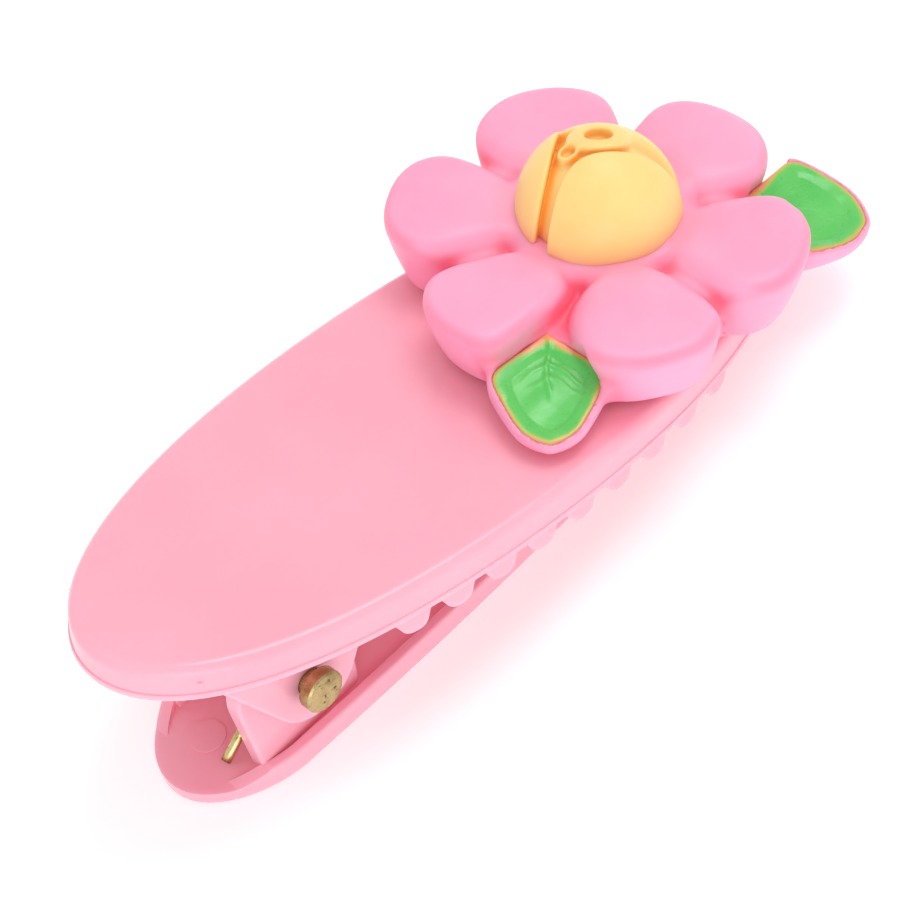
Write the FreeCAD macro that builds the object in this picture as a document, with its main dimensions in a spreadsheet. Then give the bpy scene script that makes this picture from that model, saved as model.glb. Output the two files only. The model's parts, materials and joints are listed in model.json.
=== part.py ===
import FreeCAD, Part
import math
import os
import Sketcher

# A plastic alligator hair clip with a cast flower glued to its upper jaw, in millimetres.
#
# Row frame: the lower jaw rests on Z = 0, the origin is on that plane straight under the hinge
# pin, +X runs from the thumb tail to the tip, +Y is to the far side and +Z is up.
# The upper jaw and all that is glued to it are drawn square to its flat plate, in a frame whose
# origin is the middle of the hinge pin, and are then tilted by the closed angle about the pin.

DIMENSIONS = [
    # upper jaw
    ("plate_length", 56.36, "length of the upper jaw's plate"),
    ("plate_width", 21.66, "width of the upper jaw's plate"),
    ("plate_thickness", 2.54, "plate, from its underside to its top"),
    ("plate_tail", 11.84, "rear end of the plate behind the pin"),
    ("plate_shoulder", 0.75, "rounding of the plate's top edge"),
    ("plate_edge_round", 0.2, "rounding of the lip's lower edge"),
    ("lip_proud", 0.1, "lip round the plate's lower edge, beyond the plate's side"),
    ("lip_height", 0.5, "height of the lip"),
    ("lip_round", 0.08, "rounding of the lip's upper edge"),
    ("pin_drop", 4.86, "pin axis below the plate's underside"),
    ("recess_depth", 1.2, "hollow in the plate's underside"),
    ("recess_end_land", 3.4, "solid land left at each end of the hollow"),
    ("recess_side_land", 0.3, "solid land left inside the tooth rows"),
    ("tooth_ledge", 0.55, "tooth row set in from the plate's edge"),
    ("tooth_wall", 1.25, "thickness of the tooth row"),
    ("tooth_height", 1.85, "teeth below the plate's underside"),
    ("tooth_root", 0.6, "tooth row let into the plate"),
    ("tooth_pitch", 3.44, "tooth to tooth"),
    ("tooth_count", 9, "teeth on each side"),
    ("tooth_start", 3.4, "first notch in front of the pin"),
    ("notch_top", 0.3, "width of a notch at the plate"),
    ("front_slant", 0.45, "lean of a tooth's steep front flank over its height"),
    ("front_corner", 0.7, "rounding of a tooth's front corner"),
    ("rear_slant", 1.25, "lean of a tooth's rear flank over its height"),
    ("rear_corner", 1.2, "rounding of a tooth's rear corner"),
    ("ear_thickness", 1.2, "upper ear"),
    ("ear_lobe", 3.45, "radius of the upper ear's rounded end"),
    ("ear_lobe_forward", 0.6, "middle of the rounded end before the pin"),
    ("ear_rear_foot", 8.6, "rear foot of the upper ear behind the pin"),
    ("ear_front_foot", 6.8, "front foot of the upper ear before the pin"),
    ("ear_edge_round", 0.25, "rounding of an ear's outer edge"),
    # lower jaw
    ("tray_length", 51.5, "length of the lower jaw"),
    ("tray_width", 12.4, "width of the lower jaw where it is widest"),
    ("tray_tail", 8.65, "rear end of the lower jaw behind the pin"),
    ("tray_neck", 1.5, "end of the thumb tail's curve behind the pin"),
    ("tray_neck_width", 10.7, "width of the lower jaw at the end of that curve"),
    ("tray_widest", 20.0, "widest place of the lower jaw before the pin"),
    ("tray_tail_shift", 0.4, "thumb tail's end set over to the near side"),
    ("tray_neck_shift", 0.22, "end of the tail's curve set over to the near side"),
    ("tray_rim", 1.8, "height of the lower jaw's rim"),
    ("tray_floor", 1.15, "thickness of the lower jaw's floor"),
    ("tray_wall", 0.85, "thickness of the rim"),
    ("tray_edge_round", 0.35, "rounding of the lower jaw's bottom edge"),
    ("rim_round", 0.2, "rounding of the rim"),
    ("rim_rise", 6.4, "the rim starts to rise from the floor this far behind the pin"),
    ("rim_full", 4.1, "the rim is at its full height this far behind the pin"),
    ("mark_radius", 1.2, "round ejector mark on the tail's floor"),
    ("mark_back", 4.8, "middle of the mark behind the pin"),
    ("mark_aside", 0.4, "middle of the mark to the far side"),
    ("mark_height", 0.06, "height of the mark"),
    ("post_face", 4.4, "outer face of a lower ear from the middle plane"),
    ("post_thickness", 1.1, "lower ear"),
    ("post_crown", 4.6, "radius of the lower ear round the pin"),
    ("post_rear_foot", 4.35, "rear foot of the lower ear behind the pin"),
    ("post_front_foot", 4.0, "front foot of the lower ear before the pin"),
    ("pivot_height", 7.12, "pin axis above the lower jaw's underside"),
    ("bite_gap", 0.08, "gap at the tip when the clip is shut"),
    # hinge
    ("pin_radius", 0.9, "radius of the rivet's shank"),
    ("pin_running_gap", 0.05, "shank to upper ear, each side"),
    ("ear_gap", 0.15, "lower ear to upper ear"),
    ("pin_proud", 0.65, "shank showing between the ear and each head"),
    ("head_radius", 1.46, "radius of the rivet's head"),
    ("head_thickness", 0.8, "thickness of the rivet's head"),
    ("head_bevel", 0.12, "bevel of the rivet's head"),
    # spring
    ("wire_radius", 0.325, "radius of the spring's wire"),
    ("coil_radius", 1.5, "radius of the coil at the middle of the wire"),
    ("coil_span", 4.2, "from the first leg to the second along the pin"),
    ("coil_turns", 5, "whole turns of the coil"),
    ("leg_gap", 0.06, "end of a leg to the jaw it presses"),
    ("lower_leg_reach", 5.5, "end of the lower leg behind the pin"),
    ("upper_leg_reach", 6.0, "end of the upper leg behind the pin"),
    # flower
    ("flower_x", 31.74, "middle of the flower in front of the pin"),
    ("flower_y", 0.64, "middle of the flower to the far side"),
    ("glue_radius", 7.5, "glue under the flower"),
    ("glue_height", 0.6, "thickness of the glue"),
    ("flower_base_radius", 9.8, "disc that joins the petals"),
    ("flower_base_height", 2.6, "thickness of the disc"),
    ("petal_count", 6, "petals"),
    ("petal_turn", 2.3, "direction of the first petal"),
    ("petal_height", 4.96, "petal from the flower's underside to its top"),
    ("petal_top_reach", 13.4, "outer end of a petal's top from the flower's axis"),
    ("petal_foot_reach", 11.4, "outer end of a petal's foot from the flower's axis"),
    ("petal_top_radius", 4.38, "rounding of the petal's outer end, at its top"),
    ("petal_foot_radius", 4.0, "rounding of the petal's outer end, at its foot"),
    ("petal_root", 3.4, "middle of the petal's inner end from the axis"),
    ("petal_root_radius", 2.0, "rounding of the petal's inner end"),
    ("petal_round", 0.7, "rounding of the petal's top edge"),
    ("bud_radius", 5.15, "radius of the bud"),
    ("bud_clearance", 0.12, "bud to the petals round it"),
    ("bud_seat", 2.3, "floor under the bud, above the flower's underside"),
    ("bud_centre", 4.95, "middle of the bud above the flower's underside"),
    ("bud_forward", 0.8, "middle of the bud in front of the flower's middle"),
    ("bud_aside", 0.5, "middle of the bud to the far side of the flower's middle"),
    ("leaf_root", 8.7, "inner corner of a leaf from the flower's axis"),
    ("leaf_corner", 12.1, "side corners of a leaf from the flower's axis"),
    ("leaf_tip", 17.0, "outer end of a leaf from the flower's axis"),
    ("leaf_half_width", 3.35, "half the width of a leaf"),
    ("leaf_tip_round", 1.3, "rounding of a leaf's outer end"),
    ("leaf_thickness", 0.9, "green layer"),
    ("leaf_bed_foot", 0.55, "underside of a leaf's bed above the flower's underside"),
    ("leaf_bed_top", 1.35, "top of a leaf's bed above the flower's underside"),
    ("leaf_bed_margin", 0.3, "bed showing round the green layer"),
    ("leaf_front_turn", 211.0, "direction of the front leaf"),
    ("leaf_side_turn", 328.0, "direction of the side leaf"),
]

# How square the curves of the outlines are: an ellipse has 0.5523.
PLATE_FULLNESS = 0.6125
TAIL_FULLNESS = 0.58
TIP_FULLNESS = 0.7

doc = FreeCAD.newDocument("hair_clip")


# ---------------------------------------------------------------- the spreadsheet

def make_sheet():
    sheet = doc.addObject("Spreadsheet::Sheet", "dims")
    for row, (alias, value, meaning) in enumerate(DIMENSIONS, start=1):
        sheet.set("A%d" % row, meaning)
        sheet.set("B%d" % row, str(value))
        sheet.setAlias("B%d" % row, alias)
    doc.recompute()
    return sheet


SHEET = make_sheet()


def size(alias):
    return float(SHEET.get(alias))


# The angle between the jaws when the tip of the tray touches the plate's underside.
BITE_REACH = "(dims.tray_length - dims.tray_tail)"
BITE_DROP = "(dims.pivot_height - dims.tray_rim)"
CLOSED_ANGLE = ("(asin((dims.pin_drop - dims.bite_gap) / hypot(%s; %s)) + atan2(%s; %s))"
                % (BITE_REACH, BITE_DROP, BITE_DROP, BITE_REACH))
# A frame on the pin's axis, square to the upper jaw's plate.
UPPER_FRAME = ("placement(vector(0; 0; dims.pivot_height); rotation(vector(0; 1; 0); %s))"
               % CLOSED_ANGLE)
# The flower's own frame: its axis, at its underside.
FLOWER_FRAME = (UPPER_FRAME + " * placement(vector(dims.flower_x; dims.flower_y; dims.pin_drop"
                " + dims.plate_thickness + dims.glue_height); rotation(vector(0; 0; 1); 0))")


# ---------------------------------------------------------------- shared helpers

def new_body(name):
    body = doc.addObject("PartDesign::Body", name + "_body")
    body.Label = name
    return body


def new_sketch(body, name, plane, lift=None, turn=None):
    """A sketch on one of the body's own planes, lifted off it by an expression."""
    sketch = body.newObject("Sketcher::SketchObject", name)
    origin_plane = next(o for o in body.Origin.OriginFeatures if o.Role == plane)
    sketch.AttachmentSupport = [(origin_plane, "")]
    sketch.MapMode = "FlatFace"
    if turn is not None:
        axis, angle = turn
        sketch.AttachmentOffset = FreeCAD.Placement(FreeCAD.Vector(), FreeCAD.Rotation(axis, 1))
        sketch.setExpression("AttachmentOffset.Rotation.Angle", angle)
    if lift is not None:
        sketch.setExpression("AttachmentOffset.Base.z", lift)
    doc.recompute()
    return sketch


def bind(sketch, kind, where, expression, value):
    """A driving constraint whose value comes from the spreadsheet."""
    index = sketch.addConstraint(Sketcher.Constraint(kind, *where, value))
    sketch.setExpression("Constraints[%d]" % index, expression)
    return index


def circle_sketch(sketch, x_expression, y_expression, radius_expression):
    centre = FreeCAD.Vector(evaluate_on(sketch, x_expression), evaluate_on(sketch, y_expression))
    radius = evaluate_on(sketch, radius_expression)
    circle = sketch.addGeometry(Part.Circle(centre, FreeCAD.Vector(0, 0, 1), radius))
    bind(sketch, "Radius", (circle,), radius_expression, radius)
    place_point(sketch, (circle, 3), x_expression, y_expression)
    return circle


def evaluate_on(sketch, expression):
    value = sketch.evalExpression(expression)
    return float(getattr(value, "Value", value))


def place_point(sketch, point, x_expression, y_expression):
    """Fixes a sketch point at a place worked out from the spreadsheet."""
    for kind, expression, on_axis in (("DistanceX", x_expression, -2),
                                      ("DistanceY", y_expression, -1)):
        value = evaluate_on(sketch, expression)
        if abs(value) < 1e-9:
            sketch.addConstraint(Sketcher.Constraint("PointOnObject", *point, on_axis))
        elif value > 0:
            bind(sketch, kind, (-1, 1, *point), expression, value)
        else:
            bind(sketch, kind, (*point, -1, 1), "-(%s)" % expression, -value)


def oval(sketch, tail, length, width, fullness):
    """A closed oval of four curves: tail behind the origin, length - tail before it."""
    rear = -evaluate_on(sketch, tail)
    half_length = evaluate_on(sketch, length) / 2
    half_width = evaluate_on(sketch, width) / 2
    middle = rear + half_length
    corners = [(half_length, 0), (0, half_width), (-half_length, 0), (0, -half_width)]
    curves = []
    for index, (x0, y0) in enumerate(corners):
        x3, y3 = corners[(index + 1) % 4]
        # each handle leaves its corner towards the next one, square to the oval's axis
        handle_0 = (x0 + fullness * x3, y0 + fullness * y3)
        handle_3 = (x3 + fullness * x0, y3 + fullness * y0)
        curve = Part.BezierCurve()
        curve.setPoles([FreeCAD.Vector(middle + x, y, 0)
                        for x, y in ((x0, y0), handle_0, handle_3, (x3, y3))])
        curves.append(sketch.addGeometry(curve.toBSpline()))
    for index in range(4):
        sketch.addConstraint(Sketcher.Constraint("Coincident", curves[index], 2,
                                                 curves[(index + 1) % 4], 1))
    middle_expression = "(%s) / 2 - (%s)" % (length, tail)
    place_point(sketch, (curves[0], 1), "(%s) - (%s)" % (length, tail), "0")
    place_point(sketch, (curves[1], 1), middle_expression, "(%s) / 2" % width)
    place_point(sketch, (curves[2], 1), "-(%s)" % tail, "0")
    place_point(sketch, (curves[3], 1), middle_expression, "-(%s) / 2" % width)
    return curves


def tray_outline(sketch, inset):
    """The lower jaw's outline, drawn in all round: a short round tail, then two long sides that
    spread a little to the widest place, then an oval tip."""
    drawn_in = evaluate_on(sketch, inset)
    tail = -size("tray_tail") + drawn_in
    tail_y = -size("tray_tail_shift")
    tip = size("tray_length") - size("tray_tail") - drawn_in
    neck = -size("tray_neck")
    widest = size("tray_widest")
    neck_half = size("tray_neck_width") / 2 - drawn_in
    neck_middle = -size("tray_neck_shift")
    half = size("tray_width") / 2 - drawn_in
    third = (widest - neck) / 3

    def side(sign):
        neck_y = neck_middle + sign * neck_half
        widest_y = sign * half
        spread = (widest_y - neck_y) / (widest - neck)
        return [
            [(tail, tail_y), (tail, tail_y + TAIL_FULLNESS * (neck_y - tail_y)),
             (neck - (1 - TAIL_FULLNESS) * (neck - tail), neck_y), (neck, neck_y)],
            [(neck, neck_y), (neck + third, neck_y + 2 * third * spread),
             (widest - third, widest_y), (widest, widest_y)],
            [(widest, widest_y), (widest + TIP_FULLNESS * (tip - widest), widest_y),
             (tip, TIP_FULLNESS * widest_y), (tip, 0)],
        ]

    other_side = [list(reversed(poles)) for poles in reversed(side(-1))]
    curves = []
    for poles in side(1) + other_side:
        curve = Part.BezierCurve()
        curve.setPoles([FreeCAD.Vector(x, y, 0) for x, y in poles])
        curves.append(sketch.addGeometry(curve.toBSpline()))
    for index, curve in enumerate(curves):
        sketch.addConstraint(Sketcher.Constraint("Coincident", curve, 2,
                                                 curves[(index + 1) % len(curves)], 1))
    place_point(sketch, (curves[0], 1), "-dims.tray_tail + %s" % inset, "-dims.tray_tail_shift")
    place_point(sketch, (curves[3], 1), "dims.tray_length - dims.tray_tail - %s" % inset, "0")
    for sign, neck_curve, widest_curve in (("", 1, 2), ("-", 5, 4)):
        place_point(sketch, (curves[neck_curve], 1), "-dims.tray_neck",
                    "-dims.tray_neck_shift + %s(dims.tray_neck_width / 2 - %s)" % (sign, inset))
        place_point(sketch, (curves[widest_curve], 1), "dims.tray_widest",
                    "%s(dims.tray_width / 2 - %s)" % (sign, inset))


def outline(sketch, points):
    """A closed outline of straight sides through points given as pairs of expressions."""
    places = [FreeCAD.Vector(evaluate_on(sketch, x), evaluate_on(sketch, y)) for x, y in points]
    lines = [sketch.addGeometry(Part.LineSegment(places[i], places[(i + 1) % len(places)]))
             for i in range(len(places))]
    for index, line in enumerate(lines):
        sketch.addConstraint(Sketcher.Constraint("Coincident", line, 2,
                                                 lines[(index + 1) % len(lines)], 1))
    for line, (x, y) in zip(lines, points):
        place_point(sketch, (line, 1), x, y)
    return lines


def round_arc(centre, radius, start, end):
    """An arc that runs counter-clockwise from one point to another."""
    def angle(point):
        return math.atan2(point.y - centre.y, point.x - centre.x)

    finish = angle(end)
    while finish <= angle(start):
        finish += 2 * math.pi
    circle = Part.Circle(centre, FreeCAD.Vector(0, 0, 1), radius)
    return Part.ArcOfCircle(circle, angle(start), finish)


def swept(body, kind, name, sketch, length=None, through=False, reverse=False):
    """A Pad or a Pocket of a sketch."""
    feature = body.newObject("PartDesign::" + kind, name)
    feature.Profile = sketch
    feature.Reversed = reverse
    if through:
        feature.Type = "ThroughAll"
        feature.Midplane = True
    else:
        feature.setExpression("Length", length)
    before = body.Shape.Volume if not body.Shape.isNull() else 0.0
    doc.recompute()
    changed = feature.Shape.Volume - before
    if (kind == "Pad") != (changed > 0):
        raise RuntimeError("%s of %s changed the volume by %.3f" % (kind, name, changed))
    return feature


def rounded(body, name, base, edges, radius):
    """A fillet on the edges of the base feature that a test picks out."""
    names = ["Edge%d" % number for number, edge in enumerate(base.Shape.Edges, start=1)
             if edges(edge)]
    if not names:
        raise RuntimeError("no edges to round for " + name)
    fillet = body.newObject("PartDesign::Fillet", name)
    fillet.Base = (base, names)
    fillet.setExpression("Radius", radius)
    doc.recompute()
    return fillet


def mirrored(body, name, features):
    """The same features on the other side of the clip's middle plane."""
    mirror = body.newObject("PartDesign::Mirrored", name)
    mirror.Originals = features
    plane = next(o for o in body.Origin.OriginFeatures if o.Role == "XZ_Plane")
    mirror.MirrorPlane = (plane, [""])
    body.Tip = mirror
    doc.recompute()
    return mirror


def at_height(z, tolerance=1e-4):
    """Picks the edges that lie flat at one height."""
    def test(edge):
        box = edge.BoundBox
        return abs(box.ZMin - z) < tolerance and abs(box.ZMax - z) < tolerance
    return test


def off_middle(y, tolerance=1e-4):
    """Picks the edges that lie in one upright plane on either side of the middle plane."""
    def test(edge):
        box = edge.BoundBox
        return (abs(abs(box.YMin) - y) < tolerance and abs(abs(box.YMax) - y) < tolerance
                and box.YMax - box.YMin < tolerance)
    return test


# ---------------------------------------------------------------- the upper jaw

def notch_side(direction, slant_name, corner_name):
    """One side of a notch, from its top to below the teeth, and the tooth's corner on it."""
    foot = size("pin_drop") - size("tooth_height")
    slant = size(slant_name)
    corner = size(corner_name)
    flank = math.atan2(slant, size("tooth_height"))
    # the notch runs on into the part of the row that the plate fills
    top = size("pin_drop") + size("tooth_root") / 2
    half_top = size("notch_top") / 2 - math.tan(flank) * size("tooth_root") / 2
    # the corner's arc touches the flank and the tooth's foot
    reach = slant + size("notch_top") / 2 + corner * math.tan((math.pi / 2 - flank) / 2)
    centre_z = foot + corner
    middle_angle = (math.pi + flank + 3 * math.pi / 2) / 2

    def place(x, z):
        return FreeCAD.Vector(size("tooth_start") + direction * x, z)

    start = place(max(half_top, 0), top)
    touch = place(reach - corner * math.cos(flank), centre_z - corner * math.sin(flank))
    on_arc = place(reach + corner * math.cos(middle_angle),
                   centre_z + corner * math.sin(middle_angle))
    end = place(reach, foot)
    bottom = place(reach, foot - size("rear_corner"))
    pieces = [
        Part.LineSegment(start, touch),
        Part.Arc(touch, on_arc, end),
        Part.LineSegment(end, bottom),
    ]
    return start, bottom, pieces


def tooth_notch(sketch):
    """One notch: narrow at the plate, with the steep front of one tooth behind it and the
    slanted rear of the next tooth before it."""
    rear_start, rear_bottom, rear_pieces = notch_side(-1, "front_slant", "front_corner")
    front_start, front_bottom, front_pieces = notch_side(1, "rear_slant", "rear_corner")
    for piece in rear_pieces + front_pieces:
        sketch.addGeometry(piece)
    sketch.addGeometry(Part.LineSegment(rear_bottom, front_bottom))
    if rear_start.distanceToPoint(front_start) > 1e-6:
        sketch.addGeometry(Part.LineSegment(rear_start, front_start))


def ear_outline(sketch):
    """A rounded end under the pin with two straight sides running up to feet in the plate."""
    lobe = size("ear_lobe")
    forward = size("ear_lobe_forward")
    foot_z = size("pin_drop") + size("recess_depth") + size("plate_edge_round")
    vector = FreeCAD.Vector

    def touch(foot_x, side):
        # where a straight side from a foot touches the rounded end
        to_foot = math.atan2(foot_z, foot_x - forward)
        open_angle = math.acos(lobe / math.hypot(foot_x - forward, foot_z))
        angle = to_foot + side * open_angle
        return vector(forward + lobe * math.cos(angle), lobe * math.sin(angle))

    rear = vector(-size("ear_rear_foot"), foot_z)
    front = vector(size("ear_front_foot"), foot_z)
    rear_touch = touch(rear.x, 1)
    front_touch = touch(front.x, -1)
    arc = sketch.addGeometry(round_arc(vector(forward, 0), lobe, rear_touch, front_touch))
    side = sketch.addGeometry(Part.LineSegment(front_touch, front))
    top = sketch.addGeometry(Part.LineSegment(front, rear))
    back = sketch.addGeometry(Part.LineSegment(rear, rear_touch))
    add = sketch.addConstraint
    add(Sketcher.Constraint("Coincident", side, 2, top, 1))
    add(Sketcher.Constraint("Coincident", top, 2, back, 1))
    foot_expression = "dims.pin_drop + dims.recess_depth + dims.plate_edge_round"
    place_point(sketch, (top, 1), "dims.ear_front_foot", foot_expression)
    place_point(sketch, (top, 2), "-dims.ear_rear_foot", foot_expression)
    place_point(sketch, (arc, 3), "dims.ear_lobe_forward", "0")
    bind(sketch, "Radius", (arc,), "dims.ear_lobe", lobe)
    add(Sketcher.Constraint("Tangent", side, 1, arc, 2))
    add(Sketcher.Constraint("Tangent", back, 2, arc, 1))


def on_outline_corner(z, tail, length, width):
    """Picks the edges at one height that end at a corner of an oval outline."""
    middle = length / 2 - tail
    corners = [FreeCAD.Vector(x, y, z) for x, y in (
        (-tail, 0), (length - tail, 0), (middle, width / 2), (middle, -width / 2))]

    def test(edge):
        return at_height(z)(edge) and any(
            vertex.Point.distanceToPoint(corner) < 1e-3
            for vertex in edge.Vertexes for corner in corners)
    return test


def make_upper_jaw():
    body = new_body("upper_jaw")

    # the tooth row is a ring that reaches up into the plate, which joins it
    row_sketch = new_sketch(body, "tooth_row_outline", "XY_Plane",
                            lift="dims.pin_drop + dims.tooth_root")
    for inset in ("dims.tooth_ledge", "(dims.tooth_ledge + dims.tooth_wall)"):
        oval(row_sketch, "dims.plate_tail - %s" % inset, "dims.plate_length - 2 * %s" % inset,
             "dims.plate_width - 2 * %s" % inset, PLATE_FULLNESS)
    swept(body, "Pad", "tooth_row", row_sketch, "dims.tooth_height + dims.tooth_root",
          reverse=True)

    # the plate's edge is plain behind the first notch and before the last one
    low = "dims.pin_drop - dims.tooth_height - dims.rear_corner"
    high = "dims.pin_drop + dims.tooth_root / 2"
    last_notch = "dims.tooth_start + dims.tooth_pitch * dims.tooth_count"
    ends = new_sketch(body, "plain_ends_outline", "XZ_Plane")
    for near, far in (("dims.tooth_start", "-2 * dims.plate_tail"),
                      (last_notch, "dims.plate_length")):
        outline(ends, [(near, high), (near, low), (far, low), (far, high)])
    swept(body, "Pocket", "plain_ends", ends, through=True)

    notch_sketch = new_sketch(body, "notch_outline", "XZ_Plane")
    tooth_notch(notch_sketch)
    notch = swept(body, "Pocket", "notch", notch_sketch, through=True)
    notches = body.newObject("PartDesign::LinearPattern", "notches")
    notches.Originals = [notch]
    notches.Direction = (notch_sketch, ["H_Axis"])
    notches.setExpression("Length", "dims.tooth_pitch * dims.tooth_count")
    notches.setExpression("Occurrences", "dims.tooth_count + 1")
    body.Tip = notches
    doc.recompute()

    under = size("pin_drop")
    over = under + size("plate_thickness")
    lip_sketch = new_sketch(body, "lip_outline", "XY_Plane", lift="dims.pin_drop")
    oval(lip_sketch, "dims.plate_tail", "dims.plate_length", "dims.plate_width", PLATE_FULLNESS)
    lip = swept(body, "Pad", "lip", lip_sketch, "dims.lip_height")
    for name, z, radius in (("lip_lower_edge", under, "dims.plate_edge_round"),
                            ("lip_upper_edge", under + size("lip_height"), "dims.lip_round")):
        lip = rounded(body, name, lip, on_outline_corner(
            z, size("plate_tail"), size("plate_length"), size("plate_width")), radius)

    plate_sketch = new_sketch(body, "plate_outline", "XY_Plane", lift="dims.pin_drop")
    oval(plate_sketch, "dims.plate_tail - dims.lip_proud",
         "dims.plate_length - 2 * dims.lip_proud", "dims.plate_width - 2 * dims.lip_proud",
         PLATE_FULLNESS)
    plate = swept(body, "Pad", "plate", plate_sketch, "dims.plate_thickness")
    rounded(body, "plate_shoulder", plate, at_height(over), "dims.plate_shoulder")

    inset = "(dims.tooth_ledge + dims.tooth_wall + dims.recess_side_land)"
    recess_sketch = new_sketch(body, "recess_outline", "XY_Plane", lift="dims.pin_drop")
    oval(recess_sketch, "dims.plate_tail - dims.recess_end_land",
         "dims.plate_length - 2 * dims.recess_end_land",
         "dims.plate_width - 2 * %s" % inset, PLATE_FULLNESS)
    swept(body, "Pocket", "recess", recess_sketch, "dims.recess_depth", reverse=True)

    # the XZ plane's sketches face -Y, so a lift is towards the near side
    inner_face = "dims.post_face + dims.ear_gap"
    ear_sketch = new_sketch(body, "ear_profile", "XZ_Plane", lift=inner_face)
    ear_outline(ear_sketch)
    ear = swept(body, "Pad", "ear", ear_sketch, "dims.ear_thickness")
    ears = mirrored(body, "ears", [ear])
    outer_face = size("post_face") + size("ear_gap") + size("ear_thickness")

    def ear_edge(edge):
        return off_middle(outer_face)(edge) and edge.BoundBox.ZMin < under - 0.1

    rounded(body, "ear_edges", ears, ear_edge, "dims.ear_edge_round")

    hole_sketch = new_sketch(body, "pin_hole_outline", "XZ_Plane")
    circle_sketch(hole_sketch, "0", "0", "dims.pin_radius + dims.pin_running_gap")
    swept(body, "Pocket", "pin_holes", hole_sketch, through=True)
    body.setExpression("Placement", UPPER_FRAME)
    return body


# ---------------------------------------------------------------- the lower jaw

def post_outline(sketch):
    """A lower ear: round above the pin, with two sides running down into the tray's floor."""
    crown = size("post_crown")
    pivot = size("pivot_height")
    foot_z = size("tray_floor") / 2
    vector = FreeCAD.Vector
    rear = vector(-size("post_rear_foot"), foot_z)
    front = vector(size("post_front_foot"), foot_z)
    rear_top = vector(-crown, pivot)
    front_top = vector(crown, pivot)
    arc = sketch.addGeometry(round_arc(vector(0, pivot), crown, front_top, rear_top))
    side = sketch.addGeometry(Part.LineSegment(front_top, front))
    bottom = sketch.addGeometry(Part.LineSegment(front, rear))
    back = sketch.addGeometry(Part.LineSegment(rear, rear_top))
    add = sketch.addConstraint
    add(Sketcher.Constraint("Coincident", side, 2, bottom, 1))
    add(Sketcher.Constraint("Coincident", bottom, 2, back, 1))
    place_point(sketch, (bottom, 1), "dims.post_front_foot", "dims.tray_floor / 2")
    place_point(sketch, (bottom, 2), "-dims.post_rear_foot", "dims.tray_floor / 2")
    place_point(sketch, (arc, 3), "0", "dims.pivot_height")
    bind(sketch, "Radius", (arc,), "dims.post_crown", crown)
    add(Sketcher.Constraint("Coincident", side, 1, arc, 1))
    add(Sketcher.Constraint("Coincident", back, 2, arc, 2))
    for line, end in ((side, 1), (back, 2)):
        bind(sketch, "DistanceY", (-1, 1, line, end), "dims.pivot_height", pivot)


def make_posts():
    """The two lower ears, rounded before they are set on the tray's floor."""
    body = new_body("posts")
    post_sketch = new_sketch(body, "post_profile", "XZ_Plane",
                             lift="dims.post_face - dims.post_thickness")
    post_outline(post_sketch)
    post = swept(body, "Pad", "post", post_sketch, "dims.post_thickness")
    face = size("post_face")

    def outer_edge(edge):
        return off_middle(face)(edge) and edge.BoundBox.ZMax > size("tray_rim") + 1

    rounded(body, "post_edges", post, outer_edge, "dims.ear_edge_round")
    both = body.newObject("PartDesign::Mirrored", "both_posts")
    both.TransformMode = "Whole shape"
    plane = next(o for o in body.Origin.OriginFeatures if o.Role == "XZ_Plane")
    both.MirrorPlane = (plane, [""])
    body.Tip = both
    doc.recompute()
    return body


def make_lower_jaw():
    body = new_body("lower_jaw")
    sketch = new_sketch(body, "tray_outline", "XY_Plane")
    tray_outline(sketch, "0")
    tray = swept(body, "Pad", "tray", sketch, "dims.tray_rim")
    rounded(body, "tray_bottom_edge", tray, at_height(0), "dims.tray_edge_round")

    inside_sketch = new_sketch(body, "tray_inside_outline", "XY_Plane", lift="dims.tray_rim")
    tray_outline(inside_sketch, "dims.tray_wall")
    inside = swept(body, "Pocket", "tray_inside", inside_sketch,
                   "dims.tray_rim - dims.tray_floor")
    rounded(body, "tray_rim", inside, at_height(size("tray_rim")), "dims.rim_round")

    # the rim slopes down to the floor behind the ears, so the thumb tail is a plain tongue
    slope_sketch = new_sketch(body, "rim_slope_outline", "XZ_Plane")
    outline(slope_sketch, [
        ("-dims.rim_full", "dims.tray_rim"),
        ("-dims.rim_full", "2 * dims.tray_rim"),
        ("-2 * dims.tray_tail", "2 * dims.tray_rim"),
        ("-2 * dims.tray_tail", "dims.tray_floor"),
        ("-dims.rim_rise", "dims.tray_floor"),
    ])
    swept(body, "Pocket", "rim_slope", slope_sketch, through=True)

    mark_sketch = new_sketch(body, "mark_outline", "XY_Plane", lift="dims.tray_floor")
    circle_sketch(mark_sketch, "-dims.mark_back", "dims.mark_aside", "dims.mark_radius")
    swept(body, "Pad", "ejector_mark", mark_sketch, "dims.mark_height")

    join = body.newObject("PartDesign::Boolean", "tray_and_posts")
    join.Type = "Fuse"
    join.setObjects([make_posts()])
    body.Tip = join
    doc.recompute()

    hole_sketch = new_sketch(body, "pin_hole_outline", "XZ_Plane")
    circle_sketch(hole_sketch, "0", "dims.pivot_height", "dims.pin_radius")
    swept(body, "Pocket", "pin_holes", hole_sketch, through=True)
    return body


# ---------------------------------------------------------------- the rivet and the spring

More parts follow.
